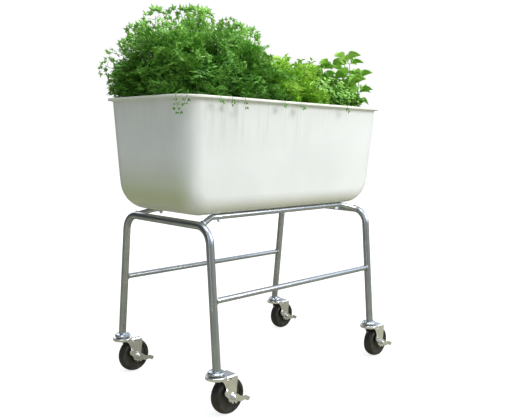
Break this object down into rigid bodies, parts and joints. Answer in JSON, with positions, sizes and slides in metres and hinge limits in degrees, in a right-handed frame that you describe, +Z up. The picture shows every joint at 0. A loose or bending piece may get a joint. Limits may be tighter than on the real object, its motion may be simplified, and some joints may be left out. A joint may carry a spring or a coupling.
{
  "type": "wheeled planter cart",
  "caption": "Tall garden planter cart: a long white tub of herbs cradled on a bent steel tube frame with swivel casters and side brakes.",
  "frame": {"origin": "on the floor, under the middle of the tub and frame", "axes": "+X along the tub towards the basil end, +Y across to the back, +Z up; the near long side with the brake levers faces -Y"},
  "size_m": [0.8852, 0.5043, 1.086],
  "materials": {
    "zinc_tube": "bright zinc plated tube, blue-grey, softly polished",
    "weld_metal": "small weld beads, plated over",
    "zinc_stamping": "clear zinc plated stamping, brighter than the tube",
    "steel_fasteners": "zinc plated",
    "bearing_steel": "polished, greased",
    "bushing_bronze": "sintered bronze",
    "wheel_rubber": "hard black rubber, dusty on the tread",
    "seal_rubber": "soft black rubber",
    "tub_plastic": "white moulded plastic, satin, with faint water marks",
    "potting_mix": "dark crumbly potting mix",
    "parsley_leaf": "matt green leaf",
    "herb_leaf": "bright green leaf",
    "basil_leaf": "glossy green leaf"
  },
  "bodies": {
    "frame": {"end_frame_left": "zinc_tube", "end_frame_right": "zinc_tube", "rail_front": "zinc_tube", "rail_rear": "zinc_tube", "stretcher_front": "zinc_tube", "stretcher_rear": "zinc_tube", "weld_beads": "weld_metal", "leg_sockets": "steel_fasteners", "tub": "tub_plastic", "tub_bolts": "steel_fasteners", "tub_bolt_washers": "steel_fasteners", "tub_bolt_seals": "seal_rubber", "tub_bolt_nuts": "steel_fasteners", "soil": "potting_mix", "parsley_bush": "parsley_leaf", "low_herbs": "herb_leaf", "basil_bush": "basil_leaf", "caster_front_left_stem": "steel_fasteners", "caster_front_left_upper_race": "zinc_stamping", "caster_front_left_balls": "bearing_steel", "caster_front_right_stem": "steel_fasteners", "caster_front_right_upper_race": "zinc_stamping", "caster_front_right_balls": "bearing_steel", "caster_rear_left_stem": "steel_fasteners", "caster_rear_left_upper_race": "zinc_stamping", "caster_rear_left_balls": "bearing_steel", "caster_rear_right_stem": "steel_fasteners", "caster_rear_right_upper_race": "zinc_stamping", "caster_rear_right_balls": "bearing_steel"},
    "front_left_fork": {"caster_front_left_fork": "zinc_stamping", "caster_front_left_axle_sleeve": "steel_fasteners", "caster_front_left_axle_bolt": "steel_fasteners", "caster_front_left_axle_nut": "steel_fasteners"},
    "front_left_wheel": {"caster_front_left_wheel": "wheel_rubber", "caster_front_left_bushing": "bushing_bronze"},
    "front_left_brake": {"caster_front_left_brake_lever": "zinc_stamping"},
    "front_right_fork": {"caster_front_right_fork": "zinc_stamping", "caster_front_right_axle_sleeve": "steel_fasteners", "caster_front_right_axle_bolt": "steel_fasteners", "caster_front_right_axle_nut": "steel_fasteners"},
    "front_right_wheel": {"caster_front_right_wheel": "wheel_rubber", "caster_front_right_bushing": "bushing_bronze"},
    "front_right_brake": {"caster_front_right_brake_lever": "zinc_stamping"},
    "rear_left_fork": {"caster_rear_left_fork": "zinc_stamping", "caster_rear_left_axle_sleeve": "steel_fasteners", "caster_rear_left_axle_bolt": "steel_fasteners", "caster_rear_left_axle_nut": "steel_fasteners"},
    "rear_left_wheel": {"caster_rear_left_wheel": "wheel_rubber", "caster_rear_left_bushing": "bushing_bronze"},
    "rear_left_brake": {"caster_rear_left_brake_lever": "zinc_stamping"},
    "rear_right_fork": {"caster_rear_right_fork": "zinc_stamping", "caster_rear_right_axle_sleeve": "steel_fasteners", "caster_rear_right_axle_bolt": "steel_fasteners", "caster_rear_right_axle_nut": "steel_fasteners"},
    "rear_right_wheel": {"caster_rear_right_wheel": "wheel_rubber", "caster_rear_right_bushing": "bushing_bronze"},
    "rear_right_brake": {"caster_rear_right_brake_lever": "zinc_stamping"}
  },
  "joints": [
    {"name": "front_left_swivel", "type": "hinge", "parent": "frame", "child": "front_left_fork", "pos_m": [-0.345, -0.22028, 0.115], "axis": [0, 0, 1], "continuous": true},
    {"name": "front_left_wheel_spin", "type": "hinge", "parent": "front_left_fork", "child": "front_left_wheel", "pos_m": [-0.305, -0.22028, 0.0508], "axis": [0, 1, 0], "continuous": true},
    {"name": "front_left_brake_lift", "type": "hinge", "parent": "front_left_fork", "child": "front_left_brake", "pos_m": [-0.305, -0.22028, 0.0508], "axis": [0, -1, 0], "range_deg": [0, 35]},
    {"name": "front_right_swivel", "type": "hinge", "parent": "frame", "child": "front_right_fork", "pos_m": [0.345, -0.22028, 0.115], "axis": [0, 0, 1], "continuous": true},
    {"name": "front_right_wheel_spin", "type": "hinge", "parent": "front_right_fork", "child": "front_right_wheel", "pos_m": [0.385, -0.22028, 0.0508], "axis": [0, 1, 0], "continuous": true},
    {"name": "front_right_brake_lift", "type": "hinge", "parent": "front_right_fork", "child": "front_right_brake", "pos_m": [0.385, -0.22028, 0.0508], "axis": [0, -1, 0], "range_deg": [0, 35]},
    {"name": "rear_left_swivel", "type": "hinge", "parent": "frame", "child": "rear_left_fork", "pos_m": [-0.345, 0.22028, 0.115], "axis": [0, 0, 1], "continuous": true},
    {"name": "rear_left_wheel_spin", "type": "hinge", "parent": "rear_left_fork", "child": "rear_left_wheel", "pos_m": [-0.305, 0.22028, 0.0508], "axis": [0, 1, 0], "continuous": true},
    {"name": "rear_left_brake_lift", "type": "hinge", "parent": "rear_left_fork", "child": "rear_left_brake", "pos_m": [-0.305, 0.22028, 0.0508], "axis": [0, -1, 0], "range_deg": [0, 35]},
    {"name": "rear_right_swivel", "type": "hinge", "parent": "frame", "child": "rear_right_fork", "pos_m": [0.345, 0.22028, 0.115], "axis": [0, 0, 1], "continuous": true},
    {"name": "rear_right_wheel_spin", "type": "hinge", "parent": "rear_right_fork", "child": "rear_right_wheel", "pos_m": [0.385, 0.22028, 0.0508], "axis": [0, 1, 0], "continuous": true},
    {"name": "rear_right_brake_lift", "type": "hinge", "parent": "rear_right_fork", "child": "rear_right_brake", "pos_m": [0.385, 0.22028, 0.0508], "axis": [0, -1, 0], "range_deg": [0, 35]}
  ]
}
